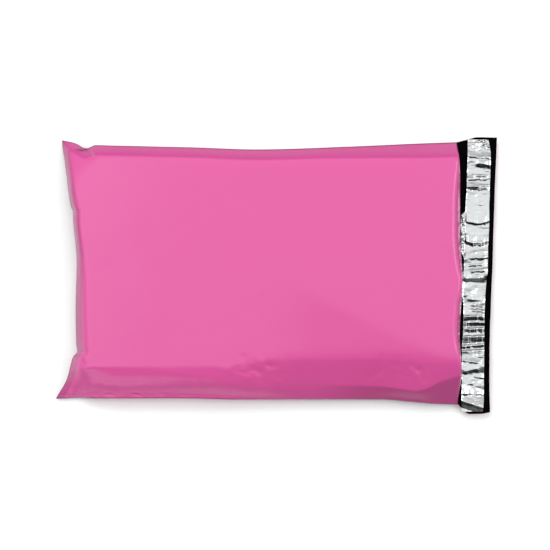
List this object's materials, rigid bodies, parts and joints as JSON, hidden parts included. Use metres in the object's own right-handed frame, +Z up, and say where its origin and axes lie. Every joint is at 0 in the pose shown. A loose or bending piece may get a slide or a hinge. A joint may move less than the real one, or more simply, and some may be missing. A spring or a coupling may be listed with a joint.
{
  "type": "poly mailer bag",
  "caption": "Filled plastic mailing bag lying flat, with welded sides, a folded closed end and an open lip that carries a glue strip under a crinkled release liner.",
  "frame": {"origin": "on the surface that the bag lies on, under the middle of its bounding box", "axes": "+X along the bag from its closed end to its lip, +Y across it, +Z up out of its front panel"},
  "size_m": [0.5314, 0.3332, 0.0455],
  "materials": {
    "bag": "satin pink polyethylene film, black on its inner face and so on the upper side of the lip",
    "glue_strip": "tacky, milky hot-melt glue",
    "release_liner": "bright silver film, crinkled across"
  },
  "bodies": {
    "root": {"bag": "bag", "glue_strip": "glue_strip", "release_liner": "release_liner"}
  },
  "joints": []
}
